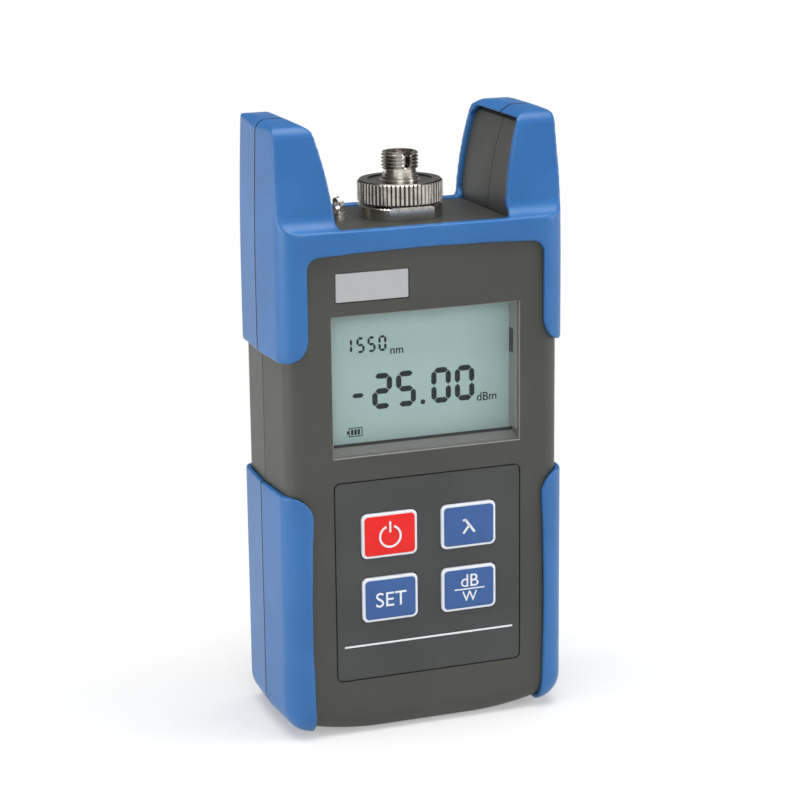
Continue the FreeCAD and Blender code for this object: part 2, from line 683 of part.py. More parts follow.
def contact_spring(x, upright):
    """Conical wire spring on its plate, pressing the flat end of a cell."""
    def make(low, high):
        coils = [ring(4.5 - 0.4 * i, 3.9 - 0.4 * i, low + 0.2 + 0.5 * i, low + 0.8 + 0.5 * i) for i in range(3)]
        return fuse_all([box(-5.5, 5.5, -5, 5, low, low + 0.3)] + coils).common(disc(20, low, high))
    return from_bay_end(x, upright, bay_low, bay_low + spring_length - 0.05, make)


def contact_plate(x, upright):
    """Flat contact that a cell's raised terminal presses on."""
    def make(low, high):
        return box(-5.5, 5.5, -5, 5, low, high)
    return from_bay_end(x, upright, bay_high - 0.25, bay_high, make)


def cells():
    """Place of each cell and whether its raised terminal is up; neighbours are turned over."""
    return [((i - 1) * cell_pitch, i % 2 == 0) for i in range(3)]


def battery_door():
    """Door flush with the rear face: hooks below, snap tongue and thumb grip above."""
    inner = half_depth - door_thick
    door = rounded_plate(-door_x, door_x, inner, half_depth, door_low, door_high, 1.0)
    thumb = Part.makeCylinder(26, 16, V(-8, half_depth + 25.2, door_high - 8.5), X)
    door = door.cut(thumb)
    rib_z = [door_high - 8.5 + 1.9 * i for i in (-1, 0, 1)]
    ribs = [box(-7, 7, half_depth - 0.9, half_depth - 0.15, z - 0.4, z + 0.4) for z in rib_z]
    hooks = []
    for x in (-12, 12):
        hooks.append(box(x - 3, x + 3, inner - 1.5, inner - 0.4, door_low - 1.8, door_low + 2.6))
        hooks.append(box(x - 3, x + 3, inner - 0.6, inner + 0.2, door_low + 0.8, door_low + 2.6))
    tongue = box(-5, 5, inner - 3.2, inner + 0.2, bay_high + bay_wall + 0.3, door_high - 0.4)
    return fuse_all([door] + ribs + hooks + [tongue])


# ---------------------------------------------------------------- write the pieces

os.makedirs("parts", exist_ok=True)

upper = upper_bumper()
right_lower = lower_bumper()
left_lower = mirror_x(right_lower)
save("front_cover", front_cover())
save("rear_cover", rear_cover())
save("front_upper_bumper", front_side(upper))
save("rear_upper_bumper", rear_side(upper))
for side, skin in (("left", left_lower), ("right", right_lower)):
    save("front_" + side + "_bumper", front_side(skin))
    save("rear_" + side + "_bumper", rear_side(skin))

save("badge_plate", badge_plate())
save("display_lens", display_lens())
save("display_cell", display_cell())
save("display_frame", display_frame())
save("backlight", backlight())
save("contact_strip", contact_strip())
save("keypad_overlay", keypad_overlay())
for name, (x, z) in zip(("power_key", "wavelength_key", "reference_key", "unit_key"), keys()):
    save(name, key_cap(x, z))
    save(name.replace("key", "switch"), tact_switch(x, z))

save("connector_panel", connector_panel())
save("connector_base", connector_base())
save("base_washer", base_washer())
save("base_nut", base_nut())
save("coupling_ring", coupling_ring())
save("fibre_adapter", fibre_adapter())
save("tether_eyelet", tether_eyelet())
save("detector", detector())
save("detector_board", detector_board())

save("main_board", main_board())
save("board_chips", board_chips())
save("board_screws", Part.makeCompound([small_screw(x, z) for x, z in board_screws]))
save("case_screws", Part.makeCompound([case_screw(x, z) for x, z in case_screws]))
save("screw_inserts", Part.makeCompound([threaded_insert(x, z) for x, z in case_screws]))
save("battery_cells", Part.makeCompound([battery_cell(x, up) for x, up in cells()]))
save("battery_springs", Part.makeCompound([contact_spring(x, up) for x, up in cells()]))
save("battery_contacts", Part.makeCompound([contact_plate(x, up) for x, up in cells()]))
save("battery_door", battery_door())
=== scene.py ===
import math

import bmesh
import bpy
from mathutils import Matrix, Vector


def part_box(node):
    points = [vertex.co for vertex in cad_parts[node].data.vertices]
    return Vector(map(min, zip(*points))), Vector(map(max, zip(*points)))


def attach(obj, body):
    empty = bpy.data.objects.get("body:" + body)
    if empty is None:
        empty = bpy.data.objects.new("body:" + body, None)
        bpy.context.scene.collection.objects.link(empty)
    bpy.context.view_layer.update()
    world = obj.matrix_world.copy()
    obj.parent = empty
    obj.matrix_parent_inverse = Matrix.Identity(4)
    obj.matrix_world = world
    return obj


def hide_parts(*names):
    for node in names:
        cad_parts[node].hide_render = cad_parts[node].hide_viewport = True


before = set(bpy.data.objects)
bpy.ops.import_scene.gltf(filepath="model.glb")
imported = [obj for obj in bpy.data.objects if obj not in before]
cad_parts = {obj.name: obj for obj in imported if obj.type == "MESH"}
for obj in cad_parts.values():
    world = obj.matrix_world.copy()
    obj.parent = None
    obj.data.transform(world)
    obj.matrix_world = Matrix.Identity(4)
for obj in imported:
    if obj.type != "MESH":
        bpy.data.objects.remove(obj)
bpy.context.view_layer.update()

MM = 0.001


# ------------------------------------------------------------------ housing
# Two moulded halves and the battery door: ABS in a warm grey, with the fine spark-eroded
# grain of the mould on every outer face. They are screwed together from behind.

class Wire:
    """A shader socket that takes part in Python arithmetic; each operation adds its Math node."""

    def __init__(self, tree, socket=None):
        self.tree = tree
        self.socket = socket

    def node(self, kind, settings, sockets, output=0):
        """Adds a node: its settings first, then the values or wires of its sockets."""
        made = self.tree.nodes.new(kind)
        for name, value in settings.items():
            setattr(made, name, value)
        for name, value in sockets.items():
            if isinstance(value, Wire):
                self.tree.links.new(value.socket, made.inputs[name])
            else:
                made.inputs[name].default_value = value
        return Wire(self.tree, made.outputs[output]) if made.outputs else None

    def math(self, operation, first, second=0.0):
        return self.node("ShaderNodeMath", {"operation": operation}, {0: first, 1: second})

    def __add__(self, other):
        return self.math("ADD", self, other)

    __radd__ = __add__

    def __sub__(self, other):
        return self.math("SUBTRACT", self, other)

    def __rsub__(self, other):
        return self.math("SUBTRACT", other, self)

    def __mul__(self, other):
        return self.math("MULTIPLY", self, other)

    __rmul__ = __mul__

    def power(self, exponent):
        return self.math("POWER", self, exponent)

    def absolute(self):
        return self.math("ABSOLUTE", self)

    def length(self):
        return self.node("ShaderNodeVectorMath", {"operation": "LENGTH"}, {0: self}, "Value")

    def between(self, low, high):
        """0 below low, 1 above high, and a smooth step from one to the other."""
        return self.node("ShaderNodeMapRange", {"interpolation_type": "SMOOTHSTEP"},
                         {"Value": self, "From Min": low, "From Max": high})

    def colour(self, first, second):
        """A colour that goes from the first to the second as this value goes from 0 to 1."""
        return self.node("ShaderNodeMix", {"data_type": "RGBA"}, {0: self, 6: first, 7: second}, 2)

    def noise(self, per_mm, detail=2.0, rough=0.5):
        return self.node("ShaderNodeTexNoise", {}, {"Vector": self, "Scale": per_mm, "Detail": detail,
                                                    "Roughness": rough})

    def stretched(self, x, y, z):
        return self.node("ShaderNodeVectorMath", {"operation": "MULTIPLY"}, {0: self, 1: (x, y, z)})

    def axes(self):
        split = self.tree.nodes.new("ShaderNodeSeparateXYZ")
        self.tree.links.new(self.socket, split.inputs[0])
        return [Wire(self.tree, output) for output in split.outputs]

    def bump(self, depth_mm, strength=1.0):
        return self.node("ShaderNodeBump", {}, {"Height": self, "Distance": depth_mm * MM, "Strength": strength})


def new_finish(name):
    """An empty material, and the place of each point of its surface in millimetres."""
    material = bpy.data.materials.new(name)
    material.use_nodes = True
    material.node_tree.nodes.clear()
    here = Wire(material.node_tree).node("ShaderNodeTexCoord", {}, {}, "Object")
    return material, here.node("ShaderNodeVectorMath", {"operation": "SCALE"}, {0: here, "Scale": 1 / MM})


def coat(place, **sockets):
    """Ends a material in one Principled shader; underscores in a socket's name stand for spaces."""
    named = {name.replace("_", " "): value for name, value in sockets.items()}
    shader = place.node("ShaderNodeBsdfPrincipled", {}, named)
    place.node("ShaderNodeOutputMaterial", {}, {"Surface": shader})


def grey(r, g, b):
    return (r, g, b, 1.0)


def moulded_plastic(name, dark, light, gloss):
    """Spark-eroded moulding: pits a quarter of a millimetre wide, a faint cloud where hands have rubbed it, and painted
    light and shade in the display window.
    """
    material, place = new_finish(name)
    pits = place.noise(2.6, 3.0, 0.6)
    cloud = place.noise(0.045, 3.0).between(0.35, 0.68)
    rub = place.stretched(0.5, 0.5, 0.12).noise(0.6, 3.0).between(0.62, 0.78)
    tone = (cloud * 0.7 + pits.between(0.3, 0.7) * 0.3).colour(dark, light)
    x, y, z = place.axes()
    # Painted light and shade: behind the clear sheet the window's sill and inner sides are painted pale grey, and
    # almost black in the last millimetre before the cell.
    window = y.between(-15.45, -15.40) * y.between(-10.3, -10.4) * (z - 77.4).absolute().between(15.6, 15.4)
    window = window * x.absolute().between(21.4, 21.2)
    painted_well_light_and_shade = y.between(-11.3, -11.6).colour(grey(0.012, 0.012, 0.012), grey(0.23, 0.23, 0.22))
    coat(place, Base_Color=window.colour(tone, painted_well_light_and_shade),
         Roughness=gloss + 0.10 * pits - 0.06 * rub,
         Specular_IOR_Level=0.35, Normal=pits.bump(0.035, 0.55))
    return material


def dress(material, *names):
    """Gives CAD nodes their material."""
    for name in names:
        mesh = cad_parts[name].data
        mesh.materials.clear()
        mesh.materials.append(material)


housing_finish = moulded_plastic("housing_abs", grey(0.046, 0.047, 0.041), grey(0.058, 0.059, 0.052), 0.40)
dress(housing_finish, "front_cover", "rear_cover", "battery_door")


# ------------------------------------------------------------------ bumpers
# Soft blue thermoplastic rubber moulded over each half of the housing: the horns with the bar
# between them, and a corner guard on each side. Every edge of the rubber is rolled over.

def merged_copy(node, name):
    """A copy of a CAD node as one closed skin."""
    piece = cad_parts[node].copy()
    piece.data = piece.data.copy()
    piece.name = name
    for key in list(piece.keys()):
        del piece[key]
    piece.parent = None
    bpy.context.scene.collection.objects.link(piece)
    bpy.ops.object.select_all(action="DESELECT")
    bpy.context.view_layer.objects.active = piece
    piece.select_set(True)
    bpy.ops.object.mode_set(mode="EDIT")
    bpy.ops.mesh.select_all(action="SELECT")
    bpy.ops.mesh.remove_doubles(threshold=2e-6)
    bpy.ops.mesh.normals_make_consistent(inside=False)
    bpy.ops.object.mode_set(mode="OBJECT")
    bpy.ops.mesh.customdata_custom_splitnormals_clear()
    return piece


def pick(piece, kind, test):
    """Selects, in edit mode, only the faces, edges or corners whose place and direction pass the test."""
    mesh = bmesh.from_edit_mesh(piece.data)
    bpy.ops.mesh.select_all(action="DESELECT")
    bpy.ops.mesh.select_mode(type=kind)
    if kind == "FACE":
        for face in mesh.faces:
            face.select_set(test(face.calc_center_median(), face.normal))
    elif kind == "EDGE":
        for edge in mesh.edges:
            a, b = (corner.co for corner in edge.verts)
            edge.select_set(test((a + b) / 2, (b - a).normalized()))
    else:
        for corner in mesh.verts:
            corner.select_set(test(corner.co, corner.normal))
    mesh.select_flush_mode()
    bmesh.update_edit_mesh(piece.data)


def finish_modifier(piece, kind, **settings):
    """Adds a modifier and applies it."""
    bpy.context.view_layer.objects.active = piece
    modifier = piece.modifiers.new(kind.lower(), kind)
    for name, value in settings.items():
        setattr(modifier, name, value)
    bpy.ops.object.modifier_apply(modifier=modifier.name)


def rubber_finish(name):
    """Satin rubber: a soft even sheen, a fine grain, a few pale scuffs, and painted shade darkening the parting line.
    """
    material, place = new_finish(name)
    # Painted shade: within a few tenths of a millimetre of the parting line the rubber is painted almost black.
    parting_shade = place.axes()[1].absolute().between(0.42, 0.28)
    grain = place.noise(3.2, 2.0)
    cloud = place.noise(0.06, 3.0).between(0.36, 0.66)
    streaks = place.stretched(1.0, 1.0, 0.16).noise(1.3, 4.0, 0.65).between(0.70, 0.76)
    patch = place.noise(0.09, 1.0).between(0.56, 0.68)
    scuff = streaks * patch
    blue = cloud.colour(grey(0.018, 0.112, 0.315), grey(0.023, 0.130, 0.350))
    blue = (scuff * 0.5).colour(blue, grey(0.20, 0.33, 0.56))
    coat(place, Base_Color=parting_shade.colour(blue, grey(0.004, 0.018, 0.050)),
         Roughness=0.34 + 0.08 * grain + 0.12 * scuff, Specular_IOR_Level=0.38,
         Normal=grain.bump(0.02, 0.45))
    return material


rubber = rubber_finish("bumper_rubber")
bumper_nodes = [half + "_" + part + "_bumper" for half in ("front", "rear") for part in ("upper", "left", "right")]
parting = 0.13
for node in bumper_nodes:
    skin = merged_copy(node, node.replace("bumper", "guard"))
    # Run past the parting line, roll the edges over, and cut back so that the line stays crisp
    inward = 1.0 if "front" in node else -1.0
    bpy.ops.object.mode_set(mode="EDIT")
    pick(skin, "VERT", lambda place, normal: abs(place.y) < (parting + 0.01) * MM)
    bpy.ops.transform.translate(value=(0, inward * 1.6 * MM, 0))
    bpy.ops.object.mode_set(mode="OBJECT")
    finish_modifier(skin, "REMESH", mode="VOXEL", voxel_size=0.34 * MM)
    finish_modifier(skin, "SMOOTH", factor=0.5, iterations=6)
    bpy.ops.object.mode_set(mode="EDIT")
    bpy.ops.mesh.select_all(action="SELECT")
    bpy.ops.mesh.bisect(plane_co=(0, -inward * parting * MM, 0), plane_no=(0, inward, 0), use_fill=True,
                        clear_outer=True, threshold=1e-7)
    bpy.ops.object.mode_set(mode="OBJECT")
    bpy.ops.object.shade_smooth_by_angle(angle=math.radians(50))
    skin.data.materials.clear()
    skin.data.materials.append(rubber)
    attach(skin, "meter")
    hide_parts(node)


# ------------------------------------------------------------------ connector panel and badge
# A flat grey plate closes the housing between the horns and carries the connector.
# The badge is a thin satin silver plate pressed into its recess; it is left bare.

dress(moulded_plastic("panel_abs", grey(0.036, 0.037, 0.032), grey(0.047, 0.048, 0.042), 0.42), "connector_panel")


def satin_plate(name):
    """Satin silver lacquer on metal, brushed along its length."""
    material, place = new_finish(name)
    brush = place.stretched(0.25, 1.0, 9.0).noise(1.6, 4.0, 0.7)
    cloud = place.noise(0.25, 2.0)
    tone = brush.between(0.3, 0.7) * 0.6 + cloud * 0.4
    coat(place, Base_Color=tone.colour(grey(0.40, 0.41, 0.42), grey(0.50, 0.51, 0.52)),
         Metallic=0.75 + 0.1 * cloud, Roughness=0.40 + 0.12 * brush, Normal=brush.bump(0.006, 0.6))
    return material


dress(satin_plate("satin_silver"), "badge_plate")


# ------------------------------------------------------------------ display
# A liquid crystal cell in a moulded frame, five millimetres behind a clear sheet that is let
# into the window. The reading is a plain row of segments; the frame's pale sides line the well.

def block(name, x1, x2, y1, y2, z1, z2):
    """A block to start from, in millimetres, left in edit mode with its place in its mesh."""
    bpy.ops.object.select_all(action="DESELECT")
    bpy.ops.mesh.primitive_cube_add(size=1, location=((x1 + x2) / 2 * MM, (y1 + y2) / 2 * MM, (z1 + z2) / 2 * MM),
                                    scale=((x2 - x1) * MM, (y2 - y1) * MM, (z2 - z1) * MM))
    bpy.ops.object.transform_apply(location=True, rotation=True, scale=True)
    piece = bpy.context.active_object
    piece.name = name
    bpy.ops.object.mode_set(mode="EDIT")
    return piece


def along_y(middle, direction):
    return abs(direction.y) > 0.99


def complete(piece, material, body, slot, smooth=40):
    """Leaves edit mode, shades the piece and hangs it on its body."""
    bpy.ops.object.mode_set(mode="OBJECT")
    bpy.ops.object.shade_smooth_by_angle(angle=math.radians(smooth))
    piece.data.materials.clear()
    piece.data.materials.append(material)
    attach(piece, body)
    return piece


def joined(pieces, name):
    bpy.ops.object.select_all(action="DESELECT")
    for piece in pieces:
        piece.select_set(True)
    bpy.context.view_layer.objects.active = pieces[0]
    bpy.ops.object.join()
    pieces[0].name = name
    return pieces[0]


glass_y, cell_y = -14.15, -10.45          # back of the clear sheet, front of the cell
well_x, well_low, well_high = 21.04, 64.3, 92.5

# Cell: reflective display glass, pale grey green, a little darker towards its edges
crystal, place = new_finish("display_crystal")
x, y, z = place.axes()
edge = ((x * (1 / 21.0)).absolute().power(6.0) + ((z - 77.4) * (1 / 14.2)).absolute().power(6.0)).between(0.0, 1.6)
mottle = place.noise(0.07, 2.0)
height = (z - 63.0).between(0.0, 28.0)
pale = mottle.colour(height.colour(grey(0.37, 0.53, 0.49), grey(0.43, 0.59, 0.59)), grey(0.42, 0.58, 0.57))
coat(place, Base_Color=edge.colour(pale, grey(0.34, 0.48, 0.46)), Roughness=0.20 + 0.05 * mottle,
     Specular_IOR_Level=0.2)
dress(crystal, "display_cell")

# Segments: hexagonal bars laid on the glass, each built the same way by one function
ink, place = new_finish("segment_ink")
coat(place, Base_Color=place.noise(2.0).colour(grey(0.008, 0.017, 0.017), grey(0.014, 0.025, 0.025)),
     Roughness=0.5 + 0.1 * place.noise(1.0), Specular_IOR_Level=0.1)

SHOWN = {"0": "ABCDEF", "1": "BC", "2": "ABDEG", "5": "ACDFG", "-": "G"}


def bar(length, thick):
    """One lit segment, lying along X at the origin."""
    piece = block("bar", -length / 2, length / 2, -0.03, 0.0, -thick / 2, thick / 2)
    pick(piece, "EDGE", along_y)
    bpy.ops.mesh.bevel(offset=thick * 0.49 * MM, offset_type="OFFSET", segments=1, affect="EDGES")
    bpy.ops.object.mode_set(mode="OBJECT")
    return piece


def digit(figure, left, low, wide, high, thick, slot_gap):
    """One figure made of its lit segments."""
    half = high / 2
    across = (wide - thick - slot_gap, 0.0)
    upright = (half - thick / 2 - slot_gap, math.pi / 2)
    middle_x, right = left + wide / 2, left + wide - thick / 2
    left_x = left + thick / 2
    places = {"A": (middle_x, low + high - thick / 2, across), "G": (middle_x, low + half, across),
              "D": (middle_x, low + thick / 2, across),
              "B": (right, low + half + (half - thick / 2) / 2, upright),
              "C": (right, low + half - (half - thick / 2) / 2, upright),
              "F": (left_x, low + half + (half - thick / 2) / 2, upright),
              "E": (left_x, low + half - (half - thick / 2) / 2, upright)}
    made = []
    for letter in SHOWN[figure]:
        px, pz, (length, turn) = places[letter]
        piece = bar(length, thick)
        piece.data.transform(Matrix.Translation(Vector((px, cell_y + 0.02, pz)) * MM) @ Matrix.Rotation(turn, 4, "Y"))
        made.append(piece)
    return made


reading = []
for figure, left in zip("1550", (-16.7, -13.95, -11.5, -9.05)):
    reading += digit(figure, left, 83.35, 1.80, 3.40, 0.52, 0.12)
for figure, left in zip("2500", (-10.6, -5.2, 2.8, 8.2)):
    reading += digit(figure, left, 70.75, 4.50, 7.80, 1.20, 0.20)
reading += digit("-", -15.6, 70.3, 3.6, 7.7, 1.0, 0.0)

# Decimal point: a short round peg
bpy.ops.object.select_all(action="DESELECT")
bpy.ops.mesh.primitive_cylinder_add(vertices=20, radius=0.55 * MM, depth=0.03 * MM, rotation=(math.pi / 2, 0, 0),
                                    location=(0.85 * MM, (cell_y + 0.005) * MM, 71.35 * MM))
bpy.ops.object.transform_apply(location=True, rotation=True, scale=True)
point = bpy.context.active_object
reading.append(point)

# Battery sign: an outline with its nub and three bars of charge
for x1, x2, z1, z2 in ((-16.0, -12.9, 67.05, 67.25), (-16.0, -12.9, 65.25, 65.45), (-13.1, -12.9, 65.25, 67.25),
                       (-16.0, -15.8, 65.25, 67.25), (-16.4, -16.0, 65.9, 66.6),
                       (-15.5, -14.95, 65.65, 66.85), (-14.75, -14.2, 65.65, 66.85), (-14.0, -13.45, 65.65, 66.85)):
    sign = block("sign", x1, x2, cell_y - 0.01, cell_y + 0.02, z1, z2)
    pick(sign, "EDGE", along_y)
    bpy.ops.mesh.bevel(offset=0.05 * MM, segments=2, affect="EDGES")
    bpy.ops.object.mode_set(mode="OBJECT")
    reading.append(sign)


def lettering(words, size, x, y, z, lift, name, weight=0.0):
    """Plain sans letters standing upright on a face that looks along -Y, their middle at x."""
    bpy.ops.object.select_all(action="DESELECT")
    bpy.ops.object.text_add(location=(x * MM, y * MM, z * MM), rotation=(math.pi / 2, 0, 0))
    piece = bpy.context.active_object
    piece.name = name
    piece.data.body = words
    piece.data.size = size * MM
    piece.data.align_x = "CENTER"
    piece.data.extrude = lift * MM
    piece.data.offset = weight * MM
    piece.data.resolution_u = 6
    bpy.ops.object.convert(target="MESH")
    bpy.ops.object.transform_apply(location=True, rotation=True, scale=True)
    bpy.ops.object.mode_set(mode="EDIT")
    bpy.ops.mesh.select_all(action="SELECT")
    bpy.ops.mesh.remove_doubles(threshold=1e-6)
    bpy.ops.object.mode_set(mode="OBJECT")
    return piece


reading.append(lettering("nm", 2.5, -4.95, cell_y, 82.55, 0.02, "nm", 0.03))
reading.append(lettering("dBm", 2.6, 15.55, cell_y, 70.35, 0.02, "dbm", 0.03))
figures = joined(reading, "display_reading")
bpy.ops.object.mode_set(mode="EDIT")
complete(figures, ink, "meter", "display_glass")

# Pale sides of the display frame, lining the well behind the clear sheet
lining, place = new_finish("frame_sides")
x, y, z = place.axes()
shaded = (z - 83.4).absolute().between(2.9, 2.5) * x.between(0.0, 1.0) * (y + 13.2).between(0.0, 0.8)
tone = place.noise(0.3, 2.0).colour(grey(0.30, 0.31, 0.30), grey(0.36, 0.37, 0.36))
coat(place, Base_Color=shaded.colour(tone, grey(0.02, 0.02, 0.02)), Roughness=0.35 + 0.1 * place.noise(1.0),
     Normal=place.noise(1.2).bump(0.02, 0.4))
liner = block("window_lining", -well_x, well_x, glass_y + 0.02, cell_y - 0.02, well_low, well_high)
pick(liner, "FACE", lambda middle, normal: abs(normal.y) > 0.9 or normal.z < -0.9)
bpy.ops.mesh.delete(type="FACE")
bpy.ops.object.mode_set(mode="OBJECT")
finish_modifier(liner, "SOLIDIFY", thickness=0.35 * MM, offset=-1)
bpy.ops.object.mode_set(mode="EDIT")
complete(liner, lining, "meter", "inner_plastic")

# Clear sheet: polished acrylic
clear = bpy.data.materials.new("clear_acrylic")
clear.use_nodes = True
clear.node_tree.nodes.clear()
start = Wire(clear.node_tree)
through = start.node("ShaderNodeBsdfTransparent", {}, {"Color": grey(0.97, 0.97, 0.97)})
mirror = start.node("ShaderNodeBsdfGlossy", {}, {"Color": grey(0.3, 0.3, 0.3), "Roughness": 0.04})
share = start.node("ShaderNodeLayerWeight", {}, {"Blend": 0.5}, "Facing").power(5.0) * 0.9 + 0.04
sheet = start.node("ShaderNodeMixShader", {}, {0: share, 1: through, 2: mirror})
start.node("ShaderNodeOutputMaterial", {}, {"Surface": sheet})
dress(clear, "display_lens")

# Frame, light guide and contact strip behind the cell
inner, place = new_finish("frame_moulding")
coat(place, Base_Color=place.noise(0.4, 2.0).colour(grey(0.50, 0.51, 0.50), grey(0.58, 0.59, 0.58)),
     Roughness=0.45 + 0.1 * place.noise(1.5), Normal=place.noise(2.0).bump(0.02, 0.4))
dress(inner, "display_frame")
milky, place = new_finish("light_guide")
coat(place, Base_Color=place.noise(0.2, 2.0).colour(grey(0.74, 0.77, 0.75), grey(0.82, 0.84, 0.82)),
     Roughness=0.3 + 0.1 * place.noise(1.0), Coat_Weight=0.2)
dress(milky, "backlight")
striped, place = new_finish("striped_rubber")
x, y, z = place.axes()
stripes = (x * 12.0).math("SINE", x * 12.0).between(-0.3, 0.3)
coat(place, Base_Color=stripes.colour(grey(0.05, 0.05, 0.05), grey(0.55, 0.50, 0.44)),
     Roughness=0.6 + 0.1 * place.noise(2.0))
dress(striped, "contact_strip")


# ------------------------------------------------------------------ keypad
# A printed sheet is stuck into a shallow recess and four keys stand up through it. Each key is
# a white cap with a coloured pad crowned inside its rim, and a plain sign printed on the pad.

film, place = new_finish("printed_film")
pebble = place.noise(3.0, 2.0)
cloud = place.noise(0.05, 2.0).between(0.35, 0.65)
coat(place, Base_Color=cloud.colour(grey(0.046, 0.049, 0.049), grey(0.056, 0.059, 0.059)),
     Roughness=0.42 + 0.12 * pebble, Specular_IOR_Level=0.28, Normal=pebble.bump(0.02, 0.5))
dress(film, "keypad_overlay")

white_print, place = new_finish("white_print")
coat(place, Base_Color=place.noise(1.5).colour(grey(0.66, 0.68, 0.71), grey(0.74, 0.76, 0.79)),
     Roughness=0.4 + 0.1 * place.noise(2.0))
overlay_y = -15.5
rule = block("printed_rule", -19.4, 19.4, overlay_y - 0.03, overlay_y + 0.05, 19.9, 20.3)
pick(rule, "EDGE", along_y)
bpy.ops.mesh.bevel(offset=0.08 * MM, segments=2, affect="EDGES")
complete(rule, white_print, "meter", "overlay_film")

white_cap, place = new_finish("white_caps")
coat(place, Base_Color=place.noise(0.8).colour(grey(0.64, 0.67, 0.72), grey(0.72, 0.75, 0.80)),
     Roughness=0.36 + 0.1 * place.noise(2.0), Normal=place.noise(2.5).bump(0.012, 0.4))


def pad_finish(name, deep, bright):
    """Satin printed colour, its tone varying a little at random."""
    material, place = new_finish(name)
    cloud = place.noise(0.35, 2.0)
    fine = place.noise(3.0, 2.0)
    coat(place, Base_Color=cloud.colour(deep, bright), Roughness=0.36 + 0.1 * fine,
         Specular_IOR_Level=0.3, Normal=fine.bump(0.012, 0.4))
    return material


blue_pad = pad_finish("blue_pads", grey(0.033, 0.090, 0.262), grey(0.040, 0.104, 0.288))
red_pad = pad_finish("red_pad", grey(0.66, 0.009, 0.006), grey(0.73, 0.014, 0.010))
cap_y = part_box("power_key")[0].y / MM
rim = 0.62


def key_pad(key, material):
    """Coloured pad inside a cap's rim: round corners, rolled edge and a crowned face."""
    low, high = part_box(key)[0] / MM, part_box(key)[1] / MM
    flange = 0.8
    x1, x2 = low.x + flange + rim, high.x - flange - rim
    z1, z2 = low.z + flange + rim, high.z - flange - rim
    pad = block(key.replace("key", "pad"), x1, x2, cap_y - 0.12, cap_y + 0.25, z1, z2)
    pick(pad, "EDGE", along_y)
    bpy.ops.mesh.bevel(offset=0.85 * MM, segments=7, affect="EDGES")
    pick(pad, "FACE", lambda middle, normal: normal.y < -0.9)
    for rise, narrow in ((0.05, 0.10), (0.05, 0.30), (0.05, 0.60), (0.04, 0.90), (0.02, 1.20)):
        bpy.ops.mesh.extrude_region_move(TRANSFORM_OT_translate={"value": (0, -rise * MM, 0)})
        bpy.ops.transform.resize(value=(1 - 2 * narrow / (x2 - x1), 1, 1 - 2 * narrow / (z2 - z1)))
    complete(pad, material, key, "red_key" if material == red_pad else "blue_key", 60)
    return (x1 + x2) / 2, (z1 + z2) / 2


sign_y = cap_y - 0.30
centres = {}
for key in ("power_key", "wavelength_key", "reference_key", "unit_key"):
    dress(white_cap, key)
    centres[key] = key_pad(key, red_pad if key == "power_key" else blue_pad)


def stroke(x, z, length, thick, turn, y):
    """A printed stroke with round ends, turned by an angle from the horizontal."""
    piece = block("stroke", -length / 2, length / 2, -0.12, 0.12, -thick / 2, thick / 2)
    pick(piece, "EDGE", along_y)
    bpy.ops.mesh.bevel(offset=thick * 0.48 * MM, segments=4, affect="EDGES")
    bpy.ops.object.mode_set(mode="OBJECT")
    piece.data.transform(Matrix.Translation(Vector((x, y, z)) * MM) @ Matrix.Rotation(-turn, 4, "Y"))
    return piece


# Power sign: an open ring with an upright stroke in its gap
px, pz = centres["power_key"]
bpy.ops.object.select_all(action="DESELECT")
bpy.ops.mesh.primitive_circle_add(vertices=48, radius=2.1 * MM, rotation=(math.pi / 2, 0, 0),
                                  location=(px * MM, sign_y * MM, (pz - 0.25) * MM))
bpy.ops.object.transform_apply(location=True, rotation=True, scale=True)
power_ring = bpy.context.active_object
bpy.ops.object.mode_set(mode="EDIT")
pick(power_ring, "EDGE", lambda middle, direction: middle.z > (pz - 0.25 + 1.9) * MM)
bpy.ops.mesh.delete(type="EDGE")
bpy.ops.mesh.select_all(action="SELECT")
bpy.ops.mesh.extrude_region_move()
bpy.ops.transform.resize(value=(2.55 / 2.1, 1, 2.55 / 2.1), center_override=(px * MM, sign_y * MM, (pz - 0.25) * MM))
bpy.ops.object.mode_set(mode="OBJECT")
finish_modifier(power_ring, "SOLIDIFY", thickness=0.2 * MM, offset=0)
power_sign = joined([power_ring, stroke(px, pz + 1.85, 2.5, 0.42, math.pi / 2, sign_y)], "power_sign")
bpy.ops.object.mode_set(mode="EDIT")
complete(power_sign, white_print, "power_key", "red_key")

# Wavelength sign: the Greek letter as two strokes
px, pz = centres["wavelength_key"]
letter = [stroke(px + 0.15, pz - 0.05, 3.7, 0.52, math.radians(-54), sign_y),
          stroke(px - 0.72, pz - 0.78, 2.3, 0.48, math.radians(52), sign_y),
          stroke(px - 1.08, pz + 1.36, 0.9, 0.44, math.radians(12), sign_y)]
wave_sign = joined(letter, "wavelength_sign")
bpy.ops.object.mode_set(mode="EDIT")
complete(wave_sign, white_print, "wavelength_key", "blue_key")

px, pz = centres["reference_key"]
set_sign = lettering("SET", 4.6, px, sign_y, pz - 1.6, 0.1, "set_sign")
bpy.ops.object.mode_set(mode="EDIT")
complete(set_sign, white_print, "reference_key", "blue_key")

px, pz = centres["unit_key"]
unit_sign = joined([lettering("dB", 4.0, px, sign_y, pz + 0.50, 0.1, "db"), stroke(px, pz - 0.02, 7.0, 0.26, 0, sign_y),
                    lettering("W", 3.3, px, sign_y, pz - 2.80, 0.1, "w")], "unit_sign")
bpy.ops.object.mode_set(mode="EDIT")
complete(unit_sign, white_print, "unit_key", "blue_key")


# ------------------------------------------------------------------ connector
# Turned brass, nickel plated: a flanged base through the panel, a knurled ring, and the threaded
# receptacle with its key slot. A small eyelet beside it takes the strap of a dust cap.

